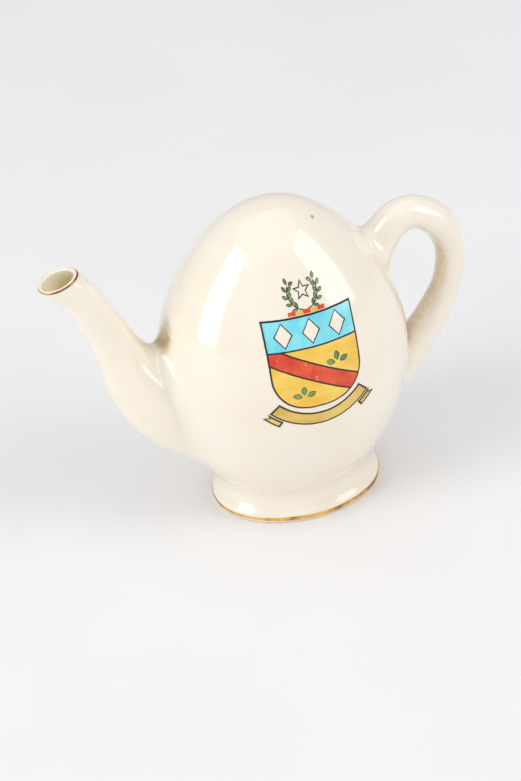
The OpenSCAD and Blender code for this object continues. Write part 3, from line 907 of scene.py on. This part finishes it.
def bend(w, reach=14.0):
    """The sloping band, run on past both sides of the shield."""
    up, drop = w / 2 * hypot(1, BEND_FALL), BEND_FALL * reach
    return dense([(-reach, BEND_Z + up + drop), (-reach, BEND_Z - up + drop),
                  (reach, BEND_Z - up - drop), (reach, BEND_Z + up - drop)])


def lozenge(x, grow=0.0):
    rx, rz, z = 1.5 + grow, 2.1 + grow, SHIELD_Z - CHIEF_H / 2
    return dense([(x - rx, z), (x, z - rz), (x + rx, z), (x, z + rz)])


def leaf(x, z, lean, long, wide):
    """A pointed leaf on its stalk at (x, z), leaning by lean from upright."""
    side = [(wide / 2 * sin(pi * k / 6) ** 0.8, long * k / 6) for k in range(7)]
    shape = side + [(-a, b) for a, b in side[-2:0:-1]]
    return [(x + a * cos(lean) - b * sin(lean), z + a * sin(lean) + b * cos(lean)) for a, b in shape]


BRANCH_R = 2.8
BRANCH_Z = SHIELD_Z + 1.0 + BRANCH_R
BRANCH_AT = [radians(-62 + 22.5 * k) for k in range(5)]
SPRIGS = [(4.0, CHIEF_Z - 4.2), (-3.0, CHIEF_Z - 9.4)]


def star(grow=0.0):
    points = []
    for k in range(10):
        r = 1.6 + 2 * grow if k % 2 == 0 else 0.7 + grow
        points.append((r * sin(pi * k / 5), BRANCH_Z + 0.3 + r * cos(pi * k / 5)))
    return dense(points, 0.4)


def sprig_leaves(grow=0.0):
    return [leaf(x - (0.45 - grow) * sin(radians(lean)), z + (0.45 - grow) * cos(radians(lean)),
                 radians(lean), 1.9 + 2 * grow, 1.15 + 2 * grow)
            for x, z in SPRIGS for lean in (-70, 0, 70)]


def branch_leaves(grow=0.0):
    leaves = []
    for side in (1, -1):
        for a in BRANCH_AT:
            x, z = BRANCH_R * cos(a), BRANCH_Z + BRANCH_R * sin(a)
            for lean in (-38, 38):
                tilt = a + radians(lean)
                x1, z1 = x - (0.25 - grow) * sin(tilt), z + (0.25 - grow) * cos(tilt)
                shape = leaf(x1, z1, tilt, 1.05 + 2 * grow, 0.52 + 2 * grow)
                leaves.append([(side * px, pz) for px, pz in shape][::side])
    return leaves


def branch_stem(side, w=0.16):
    turns = [radians(a) for a in range(-80, 35, 9)]
    rim = [(side * (BRANCH_R + w / 2) * cos(a), BRANCH_Z + (BRANCH_R + w / 2) * sin(a)) for a in turns]
    back = [(side * (BRANCH_R - w / 2) * cos(a), BRANCH_Z + (BRANCH_R - w / 2) * sin(a)) for a in turns]
    return (rim + back[::-1])[::side]


BAR_LONG, BAR_HIGH = 1.4, 0.7


def bar_block(i):
    x0, z0 = (i - 2.5) * BAR_LONG, SHIELD_Z + LINE_W
    x1, z1 = x0 + BAR_LONG, z0 + BAR_HIGH
    return dense([(x0, z0), (x1, z0), (x1, z1), (x0, z1)], 0.45)


RIBBON_R, RIBBON_END = 12.5, 43.0
RIBBON_Z = SHIELD_Z - SHIELD_H - 2.7 + RIBBON_R
TAIL_W, TAIL_FROM, TAIL_TO = 1.0, 32.0, 44.0


def ribbon_arc(r, start, end, pieces=22):
    return [(r * sin(radians(start + (end - start) * k / pieces)),
             RIBBON_Z - r * cos(radians(start + (end - start) * k / pieces))) for k in range(pieces + 1)]


def ribbon(grow=0.0):
    more = degrees(grow / RIBBON_R)
    end = RIBBON_END + more
    return (ribbon_arc(RIBBON_R + RIBBON_W / 2 + grow, -end, end)
            + ribbon_arc(RIBBON_R - RIBBON_W / 2 - grow, end, -end))


def ribbon_end(side, grow=0.0):
    """The end of the ribbon that is folded back and shows under the front."""
    tail_r = RIBBON_R + RIBBON_W / 2 + 1.5 * LINE_W + TAIL_W / 2 + 0.06
    more = degrees(grow / RIBBON_R)
    rim = ribbon_arc(tail_r + TAIL_W / 2 + grow, TAIL_FROM - more, TAIL_TO + more, 5)
    back = ribbon_arc(tail_r - TAIL_W / 2 - grow, TAIL_TO + more, TAIL_FROM - more, 5)
    notch_at = ((rim[-1][0] + back[0][0]) / 2 - 0.7, (rim[-1][1] + back[0][1]) / 2 - 0.35)
    shape = rim + [notch_at] + back
    return [(side * x, z) for x, z in shape][::side]

# %% [markdown]
# ## Enamel finishes
# Enamel is glass coloured with oxides. Brushed on by hand, it is thin at one end of a
# stroke and thick at the other, so its colour drifts, and tiny bubbles leave pale dots.
# The print is matt black and breaks up where the transfer did not take.

# %% Enamels and print
def enamel(name, thin_colour, thick_colour, bubbles=0.0, bubble_colour=CREAM, rough=0.12,
           streak=(1, 1, 1)):
    paint = Finish(name, Coat_Roughness=0.04, Coat_Weight=0.6, IOR=1.5)
    stroke = paint.cloud(3.2, detail=3, stretch=streak).between(0.32, 0.68)
    colour = stroke.tint(thin_colour, thick_colour)
    mottle = paint.cloud(0.5, detail=3).between(0.55, 0.8) * 0.25
    colour = mottle.tint(colour, thin_colour)
    if bubbles:
        dots = paint.spots(1.15, 0.2, offset=0.9, uneven=-0.4) * bubbles
        colour = dots.tint(colour, bubble_colour)
    paint.feed("Base Color", colour)
    paint.feed("Roughness", rough + 0.15 * paint.cloud(0.8, detail=2))
    paint.bumps((paint.cloud(1.4, detail=2), 0.008))
    return paint


turquoise = enamel("turquoise_enamel", rgb(0.27, 0.80, 0.88), rgb(0.13, 0.66, 0.80),
                   streak=(1, 1, 0.4))
yellow = enamel("yellow_enamel", rgb(0.95, 0.67, 0.11), rgb(0.90, 0.53, 0.035),
                streak=(0.5, 1, 1))
red = enamel("red_enamel", rgb(0.82, 0.085, 0.010), rgb(0.66, 0.020, 0.003), bubbles=0.8,
             bubble_colour=rgb(0.93, 0.55, 0.2))
green = enamel("green_enamel", rgb(0.26, 0.42, 0.10), rgb(0.05, 0.19, 0.045), rough=0.2)
ribbon_paint = enamel("ribbon_enamel", rgb(0.86, 0.60, 0.13), rgb(0.66, 0.40, 0.05), rough=0.18,
                      streak=(0.4, 1, 1))

printed = Finish("black_print", IOR=1.5)
broken = printed.cloud(0.42, detail=4, roughness=0.7).between(0.62, 0.7)
printed.feed("Base Color", (broken * 0.6).tint(rgb(0.018, 0.014, 0.012), rgb(0.35, 0.27, 0.19)))
printed.feed("Roughness", 0.3 + 0.25 * printed.cloud(0.6, detail=2))
printed.bumps((printed.cloud(0.3, detail=2), 0.004))

# %% [markdown]
# Each colour goes into its own field, which ends half a line short of the field's edge. The
# bend is drawn longer than the shield is wide and trimmed to it afterwards, together with
# the red blocks over the shield, which the same trim leaves whole.

# %% Lay the colours
PAINT_T, PRINT_T = 0.08, 0.05
LOZENGES, LOZENGE_LINE = (-5.2, 0.0, 5.2), LINE_W * 0.8
LEAF_LINE, SMALL_LEAF_LINE = 0.12, 0.08
TRIM_HALF, TRIM_FROM, TRIM_TO = 5, SHIELD_Z + 0.1, SHIELD_Z + 2
chief = shield(-HALF_LINE, SHIELD_Z, CHIEF_Z + HALF_LINE)
field = shield(-HALF_LINE, CHIEF_Z - HALF_LINE)
wide_bend = bend(BEND_W + 2 * LINE_W)
over_shield = [(-TRIM_HALF, TRIM_FROM), (TRIM_HALF, TRIM_FROM), (TRIM_HALF, TRIM_TO), (-TRIM_HALF, TRIM_TO)]
lozenge_edges = [lozenge(x, LOZENGE_LINE) for x in LOZENGES]

blue_piece = painted("badge_turquoise_skin", [chief], PAINT_T, lozenge_edges)
yellow_piece = painted("badge_yellow_skin", [field], PAINT_T, [wide_bend] + sprig_leaves())
red_piece = painted("badge_red_skin", [bend(BEND_W)] + [bar_block(i) for i in (0, 2, 4)], PAINT_T)
trimmed(red_piece, [field, over_shield])
green_piece = painted("badge_green_skin", sprig_leaves(-LEAF_LINE) + branch_leaves(-SMALL_LEAF_LINE),
                      PAINT_T)
ribbon_piece = painted("badge_ribbon_skin",
                       [ribbon(-HALF_LINE)] + [ribbon_end(s, -HALF_LINE) for s in (1, -1)]
                       + [bar_block(i) for i in (1, 3)], PAINT_T)
for piece, paint, slot, node in ((blue_piece, turquoise, "turquoise_enamel", "badge_turquoise"),
                                 (yellow_piece, yellow, "yellow_enamel", "badge_yellow"),
                                 (red_piece, red, "red_enamel", "badge_red"),
                                 (green_piece, green, "green_enamel", "badge_green"),
                                 (ribbon_piece, ribbon_paint, "ribbon_enamel", "badge_ribbon")):
    paint.on(piece)
    belongs(piece, slot, node)

# %% [markdown]
# The print goes on as thin black skins: each is the full shape with its colour fields cut
# out of it, so that only the lines stay. Leaves and lozenges get fine outlines too.

# %% Lay the print
shield_print = painted("badge_shield_lines", [shield(HALF_LINE)], PRINT_T, [chief, field])
bend_print = painted("badge_field_lines", [wide_bend], PRINT_T, [bend(BEND_W)])
trimmed(bend_print, [field])
charge_print = painted("badge_charge_lines", lozenge_edges + sprig_leaves(), PRINT_T,
                       [lozenge(x) for x in LOZENGES] + sprig_leaves(-LEAF_LINE))
crest_print = painted("badge_crest_lines", [star(0.06)], PRINT_T, [star(-0.14)])
leaf_print = painted("badge_leaf_lines", branch_leaves(0.04), PRINT_T,
                     branch_leaves(-SMALL_LEAF_LINE))
stem_print = painted("badge_stem_lines", [branch_stem(1), branch_stem(-1)], PRINT_T)
ribbon_print = painted("badge_ribbon_lines", [ribbon(HALF_LINE)], PRINT_T, [ribbon(-HALF_LINE)])
end_print = painted("badge_ribbon_end_lines", [ribbon_end(s, HALF_LINE) for s in (1, -1)], PRINT_T,
                    [ribbon_end(s, -HALF_LINE) for s in (1, -1)])
for piece, node in ((shield_print, "badge_outline"), (bend_print, "badge_outline"),
                    (charge_print, "badge_outline"), (crest_print, "crest_outline"),
                    (leaf_print, "crest_outline"), (stem_print, "crest_outline"),
                    (ribbon_print, "ribbon_outline"), (end_print, "ribbon_outline")):
    printed.on(piece)
    belongs(piece, "black_print", node)

# %% [markdown]
# ## Parts inside
# The base plate and the filling tube keep the frame's own shapes. They are seen only from
# below, where the glaze was wiped thin, and inside, where it ran yellow.

# %% Inner finishes
biscuit = Finish("bare_biscuit", IOR=1.5)
sandy = biscuit.cloud(0.6, detail=4).between(0.3, 0.8)
biscuit.feed("Base Color", sandy.tint(rgb(0.80, 0.73, 0.60), rgb(0.66, 0.56, 0.42)))
biscuit.feed("Roughness", 0.55 + 0.25 * biscuit.cloud(1.1, detail=3))
biscuit.bumps((biscuit.cloud(0.35, detail=4), 0.02))
well_glaze = Finish("inner_glaze", IOR=1.5)
runs = well_glaze.cloud(2.4, detail=3, stretch=(1, 1, 0.25)).between(0.3, 0.75)
well_glaze.feed("Base Color", runs.tint(rgb(0.78, 0.68, 0.48), rgb(0.6, 0.46, 0.24)))
well_glaze.feed("Roughness", 0.15 + 0.2 * well_glaze.cloud(1.5))
well_glaze.bumps((well_glaze.cloud(2.0, detail=2), 0.03))
biscuit.on(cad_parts["base_plate"])
well_glaze.on(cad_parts["filling_tube"])

# %% [markdown]
# ## Table, light and camera
# The pot stands on a plain white table, with a few faint specks of dust on it.

# %% Table
let_go()
bpy.ops.mesh.primitive_grid_add(x_subdivisions=8, y_subdivisions=8, size=4)
table = bpy.context.object
table.name = "table"
table_top = Finish("table_top", Roughness=0.6, IOR=1.45)
chalk = table_top.cloud(60, detail=3).between(0.3, 0.75)
table_colour = chalk.tint(rgb(0.90, 0.90, 0.905), rgb(0.875, 0.87, 0.875))
dust = table_top.spots(9, 0.03, offset=0.2) * 0.35
table_top.feed("Base Color", dust.tint(table_colour, rgb(0.45, 0.44, 0.47)))
table_top.on(table)

# %% [markdown]
# A glazed pot shows its lights as reflections, so their shapes matter as much as their
# power. Two tall soft boxes, one on each side, give the long upright highlights, a large
# panel overhead keeps the shadows soft, and a pale world fills in the rest.

# %% Lights
LIT_POINT = Vector((0, 0, 0.03))


def soft_box(name, azimuth, elevation, distance, width, height, power, colour=(1, 1, 1)):
    """A rectangular light; azimuth 0 is in front of the badge and 90 is by the handle."""
    a, e = radians(azimuth), radians(elevation)
    data = bpy.data.lights.new(name, "AREA")
    data.shape, data.size, data.size_y = "RECTANGLE", width, height
    data.energy, data.color = power, colour
    lamp = bpy.data.objects.new(name, data)
    bpy.context.scene.collection.objects.link(lamp)
    lamp.location = LIT_POINT + distance * Vector((sin(a) * cos(e), -cos(a) * cos(e), sin(e)))
    lamp.rotation_euler = (LIT_POINT - lamp.location).to_track_quat("-Z", "Y").to_euler()
    print(f"{name}: {width:.2f} by {height:.2f} m, {power:.1f} W")


soft_box("left_window", -78, 28, 0.9, 0.40, 0.92, 3.6, (1.0, 0.99, 0.97))
soft_box("right_window", 50, 30, 0.9, 0.42, 0.80, 2.5, (1.0, 0.985, 0.965))
soft_box("ceiling_panel", 0, 88, 1.3, 1.6, 1.6, 4.0)
world = bpy.data.worlds.new("studio")
world.use_nodes = True
sky = world.node_tree.nodes["Background"]
sky.inputs["Color"].default_value = rgb(0.97, 0.97, 1.0)
sky.inputs["Strength"].default_value = 0.56
bpy.context.scene.world = world
bpy.context.scene.view_settings.view_transform = "Standard"

# %% [markdown]
# The camera looks down on the pot from a little over thirty degrees, turned towards the
# spout and rolled a little, with a long lens. Its three axes are written out, so that it
# can be placed by how far it stands back and how far the pot is off the middle.

# %% Camera
AZIMUTH, ELEVATION, ROLL = radians(-16.9), radians(33.2), radians(6.07)
BACK_BY, RIGHT_BY, UP_BY = 0.5769, -0.00686, 0.01723
back = Vector((sin(AZIMUTH) * cos(ELEVATION), -cos(AZIMUTH) * cos(ELEVATION), sin(ELEVATION)))
level = Vector((cos(AZIMUTH), sin(AZIMUTH), 0))
upright = back.cross(level)
right = cos(ROLL) * level - sin(ROLL) * upright
up = sin(ROLL) * level + cos(ROLL) * upright
camera_data = bpy.data.cameras.new("camera")
camera_data.lens, camera_data.sensor_width = 138.3, 36.0
camera_data.clip_start, camera_data.clip_end = 0.01, 20.0
camera = bpy.data.objects.new("camera", camera_data)
bpy.context.scene.collection.objects.link(camera)
camera.matrix_world = Matrix((
    (right.x, up.x, back.x, 0), (right.y, up.y, back.y, 0), (right.z, up.z, back.z, 0), (0, 0, 0, 1)))
camera.location = BACK_BY * back + RIGHT_BY * right + UP_BY * up
bpy.context.scene.camera = camera

# %% Finish
let_go()
